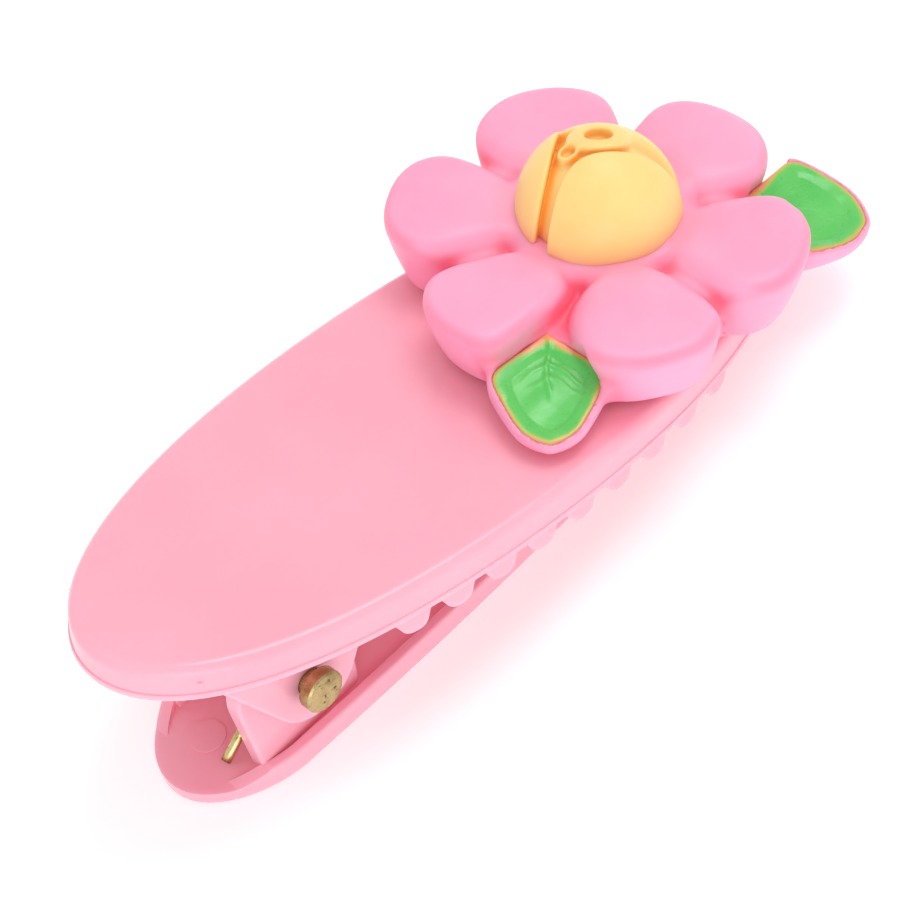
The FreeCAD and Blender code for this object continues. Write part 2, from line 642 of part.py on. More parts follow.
def make_hinge_pin():
    """A rivet turned about the hinge axis: a shank and a bevelled head at each end."""
    body = new_body("hinge_pin")
    sketch = new_sketch(body, "rivet_profile", "XY_Plane")
    shank = "dims.pin_radius"
    head = "dims.head_radius"
    seat = "(dims.post_face + dims.ear_gap + dims.ear_thickness + dims.pin_proud)"
    end = "(%s + dims.head_thickness)" % seat
    bevel = "dims.head_bevel"
    half = [(shank, seat), (head, seat), (head, "%s - %s" % (end, bevel)),
            ("%s - %s" % (head, bevel), end), ("0", end)]
    other_half = [(x, "-(%s)" % y) for x, y in half]
    outline(sketch, half + other_half[::-1])
    rivet = body.newObject("PartDesign::Revolution", "rivet")
    rivet.Profile = sketch
    rivet.ReferenceAxis = (sketch, ["V_Axis"])
    rivet.Angle = 360
    doc.recompute()
    body.setExpression("Placement.Base.z", "dims.pivot_height")
    return body


def make_torsion_spring():
    """A coil about the pin. Its first leg leaves under the pin and its last one over it.

    The body's X axis points from the pin to the start of the coil, so that the first leg runs
    straight along -Z. Each leg is tangent to the coil and ends against the jaw that it presses.
    """
    body = new_body("torsion_spring")
    # Where a leg ends, as its distance from the pin's axis square to the jaw it presses.
    lower_drop = "(dims.pivot_height - dims.tray_floor - dims.wire_radius - dims.leg_gap)"
    upper_rise = "(dims.pin_drop + dims.recess_depth - dims.wire_radius - dims.leg_gap)"
    lower_span = "hypot(dims.lower_leg_reach; %s)" % lower_drop
    upper_span = "hypot(dims.upper_leg_reach; %s)" % upper_rise
    # The slope of each leg to its jaw: it is tangent to the coil, on the side away from the jaw.
    lower_slope = ("(atan2(%s; dims.lower_leg_reach) - asin(dims.coil_radius / %s))"
                   % (lower_drop, lower_span))
    upper_slope = ("(atan2(%s; dims.upper_leg_reach) - asin(dims.coil_radius / %s))"
                   % (upper_rise, upper_span))
    start_angle = "(90 deg - %s)" % lower_slope
    end_angle = "(90 deg - %s - %s)" % (upper_slope, CLOSED_ANGLE)
    part_turn = "(%s + %s)" % (start_angle, end_angle)
    turns = "(dims.coil_turns + %s / 360 deg)" % part_turn

    sketch = new_sketch(body, "wire_start", "XY_Plane")
    circle_sketch(sketch, "dims.coil_radius", "-dims.coil_span / 2", "dims.wire_radius")
    coil = body.newObject("PartDesign::AdditiveHelix", "coil")
    coil.Profile = sketch
    coil.ReferenceAxis = (sketch, ["V_Axis"])
    coil.Mode = "height-turns-angle"
    coil.LeftHanded = True
    coil.setExpression("Height", "dims.coil_span")
    coil.setExpression("Turns", turns)
    doc.recompute()

    leg_sketch = new_sketch(body, "lower_leg_start", "XY_Plane")
    circle_sketch(leg_sketch, "dims.coil_radius", "-dims.coil_span / 2", "dims.wire_radius")
    swept(body, "Pad", "lower_leg", leg_sketch,
          "sqrt(%s ^ 2 - dims.coil_radius ^ 2)" % lower_span, reverse=True)

    end_sketch = new_sketch(body, "upper_leg_start", "XY_Plane",
                            turn=(FreeCAD.Vector(0, -1, 0), part_turn))
    circle_sketch(end_sketch, "dims.coil_radius", "dims.coil_span / 2", "dims.wire_radius")
    swept(body, "Pad", "upper_leg", end_sketch,
          "sqrt(%s ^ 2 - dims.coil_radius ^ 2)" % upper_span)
    body.setExpression("Placement", "placement(vector(0; 0; dims.pivot_height);"
                       " rotation(vector(0; 1; 0); %s))" % start_angle)
    return body


# ---------------------------------------------------------------- the flower

def make_glue_pad():
    pad = doc.addObject("Part::Cylinder", "glue_pad_disc")
    pad.Label = "glue_pad"
    pad.setExpression("Radius", "dims.glue_radius")
    pad.setExpression("Height", "dims.glue_height")
    pad.setExpression("Placement", FLOWER_FRAME
                      + " * placement(vector(0; 0; -dims.glue_height); rotation(vector(0; 0; 1); 0))")
    return pad


def petal_outline(sketch, reach, end_radius, inset="0"):
    """A rounded outer end joined to a smaller rounded inner end by two straight sides."""
    drawn_in = evaluate_on(sketch, inset)
    outer_r = size(end_radius) - drawn_in
    outer_x = size(reach) - size(end_radius)
    inner_r = size("petal_root_radius") - drawn_in / 2
    inner_x = size("petal_root")
    away = math.pi - math.acos((outer_r - inner_r) / (outer_x - inner_x))
    vector = FreeCAD.Vector

    def on(x, radius, angle):
        return vector(x + radius * math.cos(angle), radius * math.sin(angle))

    outer_arc = round_arc(vector(outer_x, 0), outer_r, on(outer_x, outer_r, -away),
                          on(outer_x, outer_r, away))
    inner_arc = round_arc(vector(inner_x, 0), inner_r, on(inner_x, inner_r, away),
                          on(inner_x, inner_r, -away))
    sketch.addGeometry(outer_arc)
    sketch.addGeometry(Part.LineSegment(outer_arc.EndPoint, inner_arc.StartPoint))
    sketch.addGeometry(inner_arc)
    sketch.addGeometry(Part.LineSegment(inner_arc.EndPoint, outer_arc.StartPoint))


def leaf_outline(sketch, margin):
    """A diamond with a rounded outer end, pointing along +X from the flower's axis."""
    root = size("leaf_root") - margin
    corner = size("leaf_corner")
    half = size("leaf_half_width") + margin
    tip = size("leaf_tip") + margin
    radius = size("leaf_tip_round") + margin
    centre = tip - radius
    vector = FreeCAD.Vector
    to_centre = math.hypot(centre - corner, half)
    angle = math.atan2(half, corner - centre) - math.acos(radius / to_centre)
    touch = vector(centre + radius * math.cos(angle), radius * math.sin(angle))
    low_touch = vector(touch.x, -touch.y)
    corners = [vector(root, 0), vector(corner, -half), vector(corner, half)]
    sketch.addGeometry(Part.LineSegment(corners[0], corners[1]))
    sketch.addGeometry(Part.LineSegment(corners[1], low_touch))
    sketch.addGeometry(round_arc(vector(centre, 0), radius, low_touch, touch))
    sketch.addGeometry(Part.LineSegment(touch, corners[2]))
    sketch.addGeometry(Part.LineSegment(corners[2], corners[0]))


def make_flower_casting():
    body = new_body("flower_casting")
    disc_sketch = new_sketch(body, "base_disc_outline", "XY_Plane")
    circle_sketch(disc_sketch, "0", "0", "dims.flower_base_radius")
    swept(body, "Pad", "base_disc", disc_sketch, "dims.flower_base_height")

    first_turn = (FreeCAD.Vector(0, 0, 1), "dims.petal_turn")
    foot = new_sketch(body, "petal_foot", "XY_Plane", turn=first_turn)
    petal_outline(foot, "petal_foot_reach", "petal_foot_radius")
    shoulder = new_sketch(body, "petal_shoulder", "XY_Plane", turn=first_turn,
                          lift="dims.petal_height - dims.petal_round")
    petal_outline(shoulder, "petal_top_reach", "petal_top_radius")
    top = new_sketch(body, "petal_top", "XY_Plane", lift="dims.petal_height", turn=first_turn)
    petal_outline(top, "petal_top_reach", "petal_top_radius", "dims.petal_round")
    petal = body.newObject("PartDesign::AdditiveLoft", "petal")
    petal.Profile = foot
    petal.Sections = [shoulder, top]
    petal.Ruled = True
    doc.recompute()
    petals = body.newObject("PartDesign::PolarPattern", "petals")
    petals.Originals = [petal]
    petals.Axis = (disc_sketch, ["N_Axis"])
    petals.Angle = 360
    petals.setExpression("Occurrences", "dims.petal_count")
    body.Tip = petals
    doc.recompute()

    for turn in ("leaf_front_turn", "leaf_side_turn"):
        bed_sketch = new_sketch(body, turn.replace("turn", "bed_outline"), "XY_Plane",
                                lift="dims.leaf_bed_foot",
                                turn=(FreeCAD.Vector(0, 0, 1), "dims." + turn))
        leaf_outline(bed_sketch, size("leaf_bed_margin"))
        swept(body, "Pad", turn.replace("turn", "bed"), bed_sketch,
              "dims.leaf_bed_top - dims.leaf_bed_foot")
        layer_sketch = new_sketch(body, turn.replace("turn", "seat_outline"), "XY_Plane",
                                  lift="dims.leaf_bed_top",
                                  turn=(FreeCAD.Vector(0, 0, 1), "dims." + turn))
        leaf_outline(layer_sketch, 0)
        swept(body, "Pocket", turn.replace("turn", "seat"), layer_sketch,
              "dims.leaf_thickness", reverse=True)

    bud_sketch = new_sketch(body, "bud_seat_outline", "XY_Plane", lift="dims.bud_seat")
    circle_sketch(bud_sketch, "dims.bud_forward", "dims.bud_aside", "dims.bud_radius + dims.bud_clearance")
    swept(body, "Pocket", "bud_seat", bud_sketch, "dims.petal_height", reverse=True)
    body.setExpression("Placement", FLOWER_FRAME)
    return body


def make_bud():
    """A ball cut flat where it meets the casting."""
    ball = doc.addObject("Part::Sphere", "bud_ball")
    ball.Label = "bud"
    ball.setExpression("Radius", "dims.bud_radius")
    ball.setExpression("Angle1", "-asin((dims.bud_centre - dims.bud_seat) / dims.bud_radius)")
    ball.setExpression("Placement", FLOWER_FRAME
                       + " * placement(vector(dims.bud_forward; dims.bud_aside; dims.bud_centre);"
                       " rotation(vector(0; 0; 1); 0))")
    return ball


def make_leaf(name):
    body = new_body(name)
    sketch = new_sketch(body, name + "_outline", "XY_Plane", lift="dims.leaf_bed_top")
    leaf_outline(sketch, 0)
    swept(body, "Pad", name + "_layer", sketch, "dims.leaf_thickness")
    body.setExpression("Placement", FLOWER_FRAME + " * placement(vector(0; 0; 0);"
                       " rotation(vector(0; 0; 1); dims.%s_turn))" % name)
    return body


# ---------------------------------------------------------------- build, check and write

SUB_PARTS = [
    make_upper_jaw(),
    make_lower_jaw(),
    make_hinge_pin(),
    make_torsion_spring(),
    make_glue_pad(),
    make_flower_casting(),
    make_bud(),
    make_leaf("leaf_front"),
    make_leaf("leaf_side"),
]
doc.recompute()

for item in doc.Objects:
    if "Invalid" in item.State or "Error" in item.State:
        raise RuntimeError("%s failed: %s" % (item.Name, item.State))

os.makedirs("parts", exist_ok=True)
for sub_part in SUB_PARTS:
    shape = sub_part.Shape
    if shape.isNull() or not shape.isValid() or len(shape.Solids) != 1:
        raise RuntimeError("%s is not one valid solid" % sub_part.Label)
    shape.exportStep("parts/%s.step" % sub_part.Label)
    print("%-16s %8.2f mm3" % (sub_part.Label, shape.Volume))
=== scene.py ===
import bpy
import math
import itertools
import json
import numpy as np
from mathutils import Matrix, Vector


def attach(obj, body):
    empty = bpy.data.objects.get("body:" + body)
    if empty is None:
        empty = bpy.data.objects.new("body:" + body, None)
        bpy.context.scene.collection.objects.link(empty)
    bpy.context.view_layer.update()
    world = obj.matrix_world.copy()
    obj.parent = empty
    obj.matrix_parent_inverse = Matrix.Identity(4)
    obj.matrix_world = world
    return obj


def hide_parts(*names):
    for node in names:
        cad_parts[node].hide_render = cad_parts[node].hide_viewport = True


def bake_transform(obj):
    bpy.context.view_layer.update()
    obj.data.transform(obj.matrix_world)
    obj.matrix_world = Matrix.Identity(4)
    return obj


# An alligator hair clip with a cast flower, around its CAD frame. Shapes are worked out in millimetres
# and turned into metres as they are made.

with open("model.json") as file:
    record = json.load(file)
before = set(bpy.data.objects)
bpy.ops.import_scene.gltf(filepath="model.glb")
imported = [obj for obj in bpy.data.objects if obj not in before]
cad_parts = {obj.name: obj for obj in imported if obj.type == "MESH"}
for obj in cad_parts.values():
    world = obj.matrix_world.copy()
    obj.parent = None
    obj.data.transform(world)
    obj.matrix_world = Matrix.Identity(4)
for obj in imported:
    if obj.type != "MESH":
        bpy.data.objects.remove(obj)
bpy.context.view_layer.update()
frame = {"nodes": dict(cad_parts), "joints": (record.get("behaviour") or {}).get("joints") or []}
SCENE = bpy.context.scene
MM = 0.001
PIN = Vector(frame["joints"][0]["pos_m"])

# The upper jaw is tilted about the pin. The plate frame has its origin at the middle of the
# plate's underside, square to the plate. The flower frame stands on the flower's glue.
TILT = math.radians(13.43)
PLATE_FROM_PIN = Vector((16.34, 0.0, 4.86))
FLOWER_IN_PLATE = Vector((15.4, 0.64, 3.14))
ROW_FROM_MM = Matrix.Diagonal((MM, MM, MM, 1.0))
TILTED = Matrix.Translation(PIN) @ Matrix.Rotation(TILT, 4, "Y") @ ROW_FROM_MM
PLATE = TILTED @ Matrix.Translation(PLATE_FROM_PIN)
FLOWER = PLATE @ Matrix.Translation(FLOWER_IN_PLATE)


def make_camera():
    """The view, given by its angles and distance from a point on the plate, in the plate's frame."""
    azimuth = math.radians(-43.17)
    elevation = math.radians(44.51)
    roll = math.radians(-2.54)
    distance = 350.34
    target = Vector((0.0, -2.17, 0.0))
    back = Vector((
        math.sin(azimuth) * math.cos(elevation),
        -math.cos(azimuth) * math.cos(elevation),
        math.sin(elevation),
    ))
    level = Vector((0.0, 0.0, 1.0)).cross(back).normalized()
    above = back.cross(level)
    right = math.cos(roll) * level + math.sin(roll) * above
    up = math.cos(roll) * above - math.sin(roll) * level
    turn = PLATE.to_3x3().normalized()
    place = Matrix((turn @ right, turn @ up, turn @ back)).transposed().to_4x4()
    place.translation = PLATE @ (target + back * distance)
    data = bpy.data.cameras.new("camera")
    data.sensor_width = 36.0
    data.lens = 224.6
    data.clip_start = 0.01
    data.clip_end = 10.0
    camera = bpy.data.objects.new("camera", data)
    SCENE.collection.objects.link(camera)
    camera.matrix_world = place
    SCENE.camera = camera


make_camera()


def linear(r, g, b):
    """The linear colour of an sRGB colour given in 0 to 255."""
    def one(c):
        c = c / 255.0
        return c / 12.92 if c <= 0.04045 else ((c + 0.055) / 1.055) ** 2.4
    return (one(r), one(g), one(b), 1.0)


# ---------------------------------------------------------------- surfaces of fields

def soft_max(a, b, width):
    """The larger of two fields, rounded where they cross."""
    h = np.maximum(width - np.abs(a - b), 0.0) / width
    return np.maximum(a, b) + h * h * width * 0.25


def soft_min(a, b, width):
    """The smaller of two fields, rounded where they cross."""
    return -soft_max(-a, -b, width)


def gradient(field, points, reach=0.01):
    """The slope of a field along each axis."""
    steps = np.eye(3) * reach
    return np.stack([field(points + s) - field(points - s) for s in steps], -1) / (2 * reach)


def surface(field, low, high, step):
    """Points and four-sided faces of the surface where the field is zero; it is negative inside."""
    axes = [np.arange(a, b + step, step) for a, b in zip(low, high)]
    shape = [len(a) for a in axes]
    grid = np.stack(np.meshgrid(*axes, indexing="ij"), -1).reshape(-1, 3)
    value = field(grid).reshape(shape)
    inside = value < 0
    corners = [inside[i:shape[0] - 1 + i, j:shape[1] - 1 + j, k:shape[2] - 1 + k]
               for i, j, k in itertools.product((0, 1), repeat=3)]
    mixed = np.any(corners, axis=0) & ~np.all(corners, axis=0)
    number = np.full(mixed.shape, -1)
    count = int(mixed.sum())
    number[mixed] = np.arange(count)
    total = np.zeros((count, 3))
    hits = np.zeros(count)
    faces = []
    for a in range(3):
        b, c = (a + 1) % 3, (a + 2) % 3
        near = np.take(inside, range(shape[a] - 1), axis=a)
        far = np.take(inside, range(1, shape[a]), axis=a)
        at = np.argwhere(near != far)
        at = at[(at[:, b] > 0) & (at[:, c] > 0) & (at[:, b] < shape[b] - 1) & (at[:, c] < shape[c] - 1)]
        after = at.copy()
        after[:, a] += 1
        v0, v1 = value[tuple(at.T)], value[tuple(after.T)]
        where = at.astype(float)
        where[:, a] += v0 / (v0 - v1)
        ring = []
        for db, dc in ((0, 0), (1, 0), (1, 1), (0, 1)):
            cell = at.copy()
            cell[:, b] -= db
            cell[:, c] -= dc
            ids = number[tuple(cell.T)]
            ring.append(ids)
            np.add.at(total, ids, where)
            np.add.at(hits, ids, 1)
        quads = np.stack(ring, 1)
        faces.append(np.where((v0 < 0)[:, None], quads, quads[:, ::-1]))
    points = total / hits[:, None] * step + np.array([a[0] for a in axes])
    faces = np.vstack(faces)
    for turn in range(6):
        if turn < 3:
            points = relaxed(points, faces)
        g = gradient(field, points)
        move = field(points)[:, None] * g / np.maximum((g * g).sum(1), 0.05)[:, None]
        points = points - np.clip(move, -step, step)
    return points, faces


def relaxed(points, faces):
    """Each point halfway to the mean of its neighbours."""
    total = np.zeros_like(points)
    hits = np.zeros(len(points))
    for a, b in ((0, 1), (1, 2), (2, 3), (3, 0)):
        for one, other in ((a, b), (b, a)):
            np.add.at(total, faces[:, one], points[faces[:, other]])
            np.add.at(hits, faces[:, one], 1)
    return (points + total / np.maximum(hits, 1)[:, None]) / 2


def hollow(field, points):
    """How enclosed each point of the surface is: 0 on a bulge, up to 1 in a crease; it sets where shade
    is painted.
    """
    g = gradient(field, points)
    out = g / np.maximum(np.linalg.norm(g, axis=1), 1e-6)[:, None]
    found = np.zeros(len(points))
    for reach, weight in ((0.35, 0.4), (0.8, 0.35), (1.6, 0.25)):
        found += weight * np.clip(1 - field(points + out * reach) / reach, 0, 1)
    return found


def make_piece(name, points, faces, matrix, body, material, **layers):
    """A mesh piece from points in millimetres, with its own values stored on its points."""
    mesh = bpy.data.meshes.new(name)
    place = np.array(matrix)
    world = points @ place[:3, :3].T + place[:3, 3]
    mesh.from_pydata(world.tolist(), [], [tuple(map(int, f)) for f in faces])
    mesh.polygons.foreach_set("use_smooth", np.ones(len(faces), bool))
    for key, values in layers.items():
        layer = mesh.attributes.new(key, "FLOAT", "POINT")
        layer.data.foreach_set("value", np.asarray(values, np.float32))
    mesh.materials.append(material)
    mesh.update()
    piece = bpy.data.objects.new(name, mesh)
    SCENE.collection.objects.link(piece)
    if body:
        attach(piece, body)
    return piece


# ---------------------------------------------------------------- materials

def material(name, colour, rough, coat=0.0, soft=0.0, soft_scale=0.001):
    m = bpy.data.materials.new(name)
    m.use_nodes = True
    shader = m.node_tree.nodes["Principled BSDF"]
    shader.inputs["Base Color"].default_value = colour
    shader.inputs["Roughness"].default_value = rough
    shader.inputs["Coat Weight"].default_value = coat
    shader.inputs["Coat Roughness"].default_value = 0.08
    shader.inputs["Subsurface Weight"].default_value = soft
    shader.inputs["Subsurface Radius"].default_value = (1.0, 0.45, 0.5)
    shader.inputs["Subsurface Scale"].default_value = soft_scale
    return m, shader


BLACK = (0.0, 0.0, 0.0, 1.0)
WHITE = (1.0, 1.0, 1.0, 1.0)


class Graph:
    """Short calls for a material's nodes."""
    def __init__(self, m):
        self.nodes = m.node_tree.nodes
        self.links = m.node_tree.links

    def put(self, kind, inputs=None, **settings):
        node = self.nodes.new(kind)
        for key, value in settings.items():
            setattr(node, key, value)
        for key, value in (inputs or {}).items():
            if isinstance(value, bpy.types.NodeSocket):
                self.links.new(value, node.inputs[key])
            else:
                node.inputs[key].default_value = value
        return node

    def noise(self, scale, detail, rough):
        where = self.put("ShaderNodeTexCoord").outputs["Object"]
        return self.put("ShaderNodeTexNoise", {"Vector": where, "Scale": scale, "Detail": detail,
                                               "Roughness": rough}).outputs["Fac"]

    def ramp(self, value, *stops):
        """A colour that follows the value through stops of (place, colour)."""
        node = self.put("ShaderNodeValToRGB", {"Fac": value})
        ramp = node.color_ramp
        while len(ramp.elements) < len(stops):
            ramp.elements.new(0.5)
        for element, (place, colour) in zip(ramp.elements, stops):
            element.position = place
            element.color = colour
        return node.outputs["Color"]

    def grey(self, value, low, high, start, end):
        """A number that goes from low to high as the value goes from start to end."""
        return self.put("ShaderNodeMapRange", {"Value": value, "From Min": start, "From Max": end,
                                               "To Min": low, "To Max": high}).outputs["Result"]

    def layer(self, name):
        """The value that make_piece stored on the piece's points under this name."""
        return self.put("ShaderNodeAttribute", attribute_name=name).outputs["Fac"]

    def mix(self, amount, a, b):
        """From colour a to colour b; 6 and 7 are the node's sockets for two colours."""
        return self.put("ShaderNodeMix", {0: amount, 6: a, 7: b}, data_type="RGBA").outputs[2]

    def bump(self, shader, height, strength, distance):
        node = self.put("ShaderNodeBump", {"Height": height, "Strength": strength,
                                           "Distance": distance})
        self.links.new(node.outputs["Normal"], shader.inputs["Normal"])


def clip_plastic():
    """Glossy moulded plastic: even pink, with faint flow marks and a slightly rippled skin."""
    m, shader = material("clip_plastic", linear(254, 180, 199), 0.16, soft=0.45, soft_scale=0.002)
    g = Graph(m)
    colour = g.ramp(g.noise(90.0, 2.0, 0.5), (0.3, linear(253, 172, 190)), (0.7, linear(255, 179, 196)))
    g.links.new(colour, shader.inputs["Base Color"])
    g.links.new(g.grey(g.noise(700.0, 4.0, 0.6), 0.12, 0.24, 0.3, 0.7), shader.inputs["Roughness"])
    g.bump(shader, g.noise(160.0, 1.0, 0.4), 0.25, 0.00006)
    return m


def brass(name, bright, dull, spots):
    """Plated metal with cloudy tarnish and dark specks."""
    m, shader = material(name, bright, 0.3)
    shader.inputs["Metallic"].default_value = 1.0
    g = Graph(m)
    cloud = g.ramp(g.noise(900.0, 4.0, 0.6), (0.38, dull), (0.62, bright))
    speck = g.grey(g.noise(2100.0, 3.0, 0.7), 0.0, 1.0, 0.58, 0.68)
    colour = g.mix(speck, cloud, spots)
    g.links.new(colour, shader.inputs["Base Color"])
    g.links.new(g.grey(g.noise(1500.0, 3.0, 0.6), 0.2, 0.42, 0.3, 0.7), shader.inputs["Roughness"])
    g.bump(shader, g.noise(2600.0, 4.0, 0.6), 0.25, 0.00004)
    return m


def petal_resin():
    """Satin cast resin with faint mottling and tiny pits, and painted shade, deeper and redder, in the
    creases.
    """
    m, shader = material("petal_resin", linear(255, 170, 204), 0.42, soft=0.35, soft_scale=0.0016)
    g = Graph(m)
    body = g.ramp(g.noise(140.0, 3.0, 0.5), (0.3, linear(255, 160, 194)), (0.7, linear(255, 173, 205)))
    # Painted shade: the colour turns a darker red where the surface lies in a crease.
    painted_shade = g.ramp(g.layer("hollow"), (0.08, BLACK), (0.62, WHITE))
    colour = g.mix(painted_shade, body, linear(255, 122, 150))
    g.links.new(colour, shader.inputs["Base Color"])
    g.links.new(g.grey(g.noise(500.0, 3.0, 0.6), 0.36, 0.52, 0.3, 0.7), shader.inputs["Roughness"])
    g.bump(shader, g.noise(420.0, 5.0, 0.65), 0.22, 0.00010)
    return m


def bud_resin():
    """Satin cast resin: pale yellow, with painted shade in orange in the creases, and orange towards the
    pink petals.
    """
    m, shader = material("bud_resin", linear(254, 216, 142), 0.42, soft=0.35, soft_scale=0.0014)
    g = Graph(m)
    body = g.ramp(g.noise(170.0, 3.0, 0.5), (0.3, linear(254, 209, 129)), (0.7, linear(255, 218, 142)))
    # Painted shade: the yellow turns orange where the surface lies in a crease.
    painted_shade = g.ramp(g.layer("hollow"), (0.28, BLACK), (0.8, WHITE))
    colour = g.mix(painted_shade, body, linear(253, 184, 84))
    colour = g.mix(g.layer("foot"), colour, linear(255, 168, 138))
    g.links.new(colour, shader.inputs["Base Color"])
    g.bump(shader, g.noise(500.0, 5.0, 0.65), 0.2, 0.00008)
    return m


def leaf_resin():
    """Glossy green resin with painted shade, a darker green, in its creases; it bleeds into yellow and
    orange along its edge.
    """
    m, shader = material("leaf_resin", linear(98, 212, 106), 0.34, coat=0.15, soft=0.3, soft_scale=0.001)
    g = Graph(m)
    body = g.ramp(g.noise(320.0, 4.0, 0.6), (0.3, linear(78, 196, 84)), (0.7, linear(104, 208, 100)))
    # Painted shade: the green darkens where the surface lies in a crease.
    crease_shade = g.grey(g.layer("hollow"), 0.0, 1.0, 0.1, 0.6)
    body = g.mix(crease_shade, body, linear(62, 186, 84))
    rag = g.grey(g.noise(900.0, 3.0, 0.6), -0.08, 0.08, 0.3, 0.7)
    edge = g.put("ShaderNodeMath", {0: g.layer("inset"), 1: rag}, operation="ADD").outputs[0]
    bleed = g.ramp(edge, (0.0, linear(232, 160, 105)), (0.12, linear(196, 186, 88)),
                   (0.34, linear(132, 200, 88)))
    middle = g.grey(edge, 0.0, 1.0, 0.16, 0.46)
    g.links.new(g.mix(middle, bleed, body), shader.inputs["Base Color"])
    g.links.new(g.grey(g.noise(800.0, 3.0, 0.6), 0.2, 0.42, 0.3, 0.7), shader.inputs["Roughness"])
    g.bump(shader, g.noise(700.0, 5.0, 0.65), 0.35, 0.00012)
    return m


def set_glue():
    """Set clear glue, slightly milky."""
    m, shader = material("glue", linear(255, 214, 222), 0.15, soft=0.4)
    g = Graph(m)
    colour = g.ramp(g.noise(600.0, 3.0, 0.5), (0.3, linear(252, 196, 208)), (0.7, linear(255, 222, 228)))
    g.links.new(colour, shader.inputs["Base Color"])
    g.bump(shader, g.noise(500.0, 2.0, 0.5), 0.4, 0.0001)
    return m


CLIP = clip_plastic()
BRASS = brass("brass", linear(188, 170, 120), linear(150, 132, 84), linear(90, 76, 46))
WIRE = brass("spring_wire", linear(226, 206, 150), linear(196, 172, 112), linear(150, 128, 76))
PETAL = petal_resin()
BUD = bud_resin()
LEAF = leaf_resin()
GLUE = set_glue()


# ---------------------------------------------------------------- the flower

# The flower's own sizes are in millimetres from its axis and from the casting's underside.
PETAL_TOP = 4.95
PETAL_MIDDLE = 8.95
PETAL_INNER_REACH = 4.9
PETAL_TURN = 2.3
PETAL_POWER = 2.35
PETAL_EDGE = 1.05
PETAL_DOME = 0.014
VALLEY_DEPTH = 0.95
BUD_VALLEY_DEPTH = 0.45
NO_STRAIGHT = 9.0
# For each petal: its direction from the first, its half width on each side, its outer reach, how much
# higher than the rest it is, and how far out a straight side stands. NO_STRAIGHT is past every side.
PETALS = [
    (0, 4.85, 4.9, 4.6, 0.0, NO_STRAIGHT),
    (60, 4.9, 4.75, 4.35, 0.05, NO_STRAIGHT),
    (120, 4.75, 4.85, 4.6, 0.0, NO_STRAIGHT),
    (180, 4.7, 4.8, 4.5, -0.05, 3.15),
    (240, 4.9, 4.7, 4.5, 0.0, NO_STRAIGHT),
    (300, 4.9, 4.85, 4.6, 0.05, NO_STRAIGHT),
]
BUD_RADIUS = 5.18
BUD_CORE = 4.50
BUD_CENTRE = np.array([0.95, 0.66, 4.76])
BUD_FLOOR = 2.0
BUD_FOOT_TOP = 5.7
# The pink base: a disc that joins the petals, and a boss round the bud.
DISC_RADIUS = 9.7
DISC_TOP = 2.55
BOSS_RADIUS = 6.1
BOSS_TOP = 4.5
# For each leaf: its inner corner, direction, length, and a breadth that scales its half widths.
LEAVES = {"leaf_front": (-8.07, -3.60, 225.5, 8.0, 1.0), "leaf_side": (9.30, -3.95, 312.0, 7.7, 1.22)}
LEAF_RISE = 2.85
LEAF_FALL = 0.24
LEAF_THICK = 0.62
LEAF_DISH = 0.30
LEAF_RIM = 0.29
CASTING_GRID = 0.17
FINE_GRID = 0.10
GLUE_GRID = 0.15


def turned(p, degrees):
    """Distances outwards and sideways from the flower's axis in one direction."""
    a = math.radians(degrees)
    return (p[:, 0] * math.cos(a) + p[:, 1] * math.sin(a),
            p[:, 1] * math.cos(a) - p[:, 0] * math.sin(a))


def from_bud(p):
    """Distance from the bud's own axis."""
    return np.hypot(p[:, 0] - BUD_CENTRE[0], p[:, 1] - BUD_CENTRE[1])


def petal_field(p, turn, left, right, reach, lift, straight):
    """A pillow that is drawn in towards its foot and sinks beside its neighbours and the bud."""
    u, v = turned(p, PETAL_TURN + turn)
    low = 1 - np.clip(p[:, 2] / PETAL_TOP, 0, 1)
    du = u - PETAL_MIDDLE
    length = np.where(du > 0, reach - 1.5 * low ** 1.5, PETAL_INNER_REACH)
    width = np.where(v > 0, left, right) - 0.8 * low ** 1.3
    # the inner end is a little narrower than the outer one
    width = width - 0.05 * np.clip(-du, 0, 6) - 0.05 * np.clip(-du - 1.5, 0, 6) ** 2
    q = (np.abs(du / length) ** PETAL_POWER + np.abs(v / width) ** PETAL_POWER) ** (1 / PETAL_POWER)
    side = (q - 1) * np.minimum(length, width) * 0.92
    side = soft_max(side, (v - straight) * 0.97 + 0.5 * low, 1.0)
    # how far a point is from the bud, and from the line between this petal and the next
    away = from_bud(p) - BUD_RADIUS
    beside = np.maximum(u * 0.5 - np.abs(v) * 0.866, 0)
    sink = 0.004 * np.clip(-du, 0, 8) ** 2
    sink = sink + BUD_VALLEY_DEPTH * np.exp(-(np.maximum(away, 0) / 1.1) ** 2)
    sink = sink + VALLEY_DEPTH * np.exp(-beside ** 2) * np.clip(away / 1.2, 0, 1)
    dome = PETAL_DOME * (np.maximum(du, 0) ** 2 + v * v)
    top = p[:, 2] - (PETAL_TOP + lift + 0.04 - dome - sink)
    ripple = 0.035 * np.sin(1.1 * u + turn) * np.sin(0.9 * v + 2.0 * turn)
    return soft_max(side, top, PETAL_EDGE) + ripple


def leaf_place(p, leaf):
    """Distances along and across a leaf from its inner corner."""
    x, y, turn = leaf[:3]
    return turned(p - np.array([x, y, 0.0]), turn)


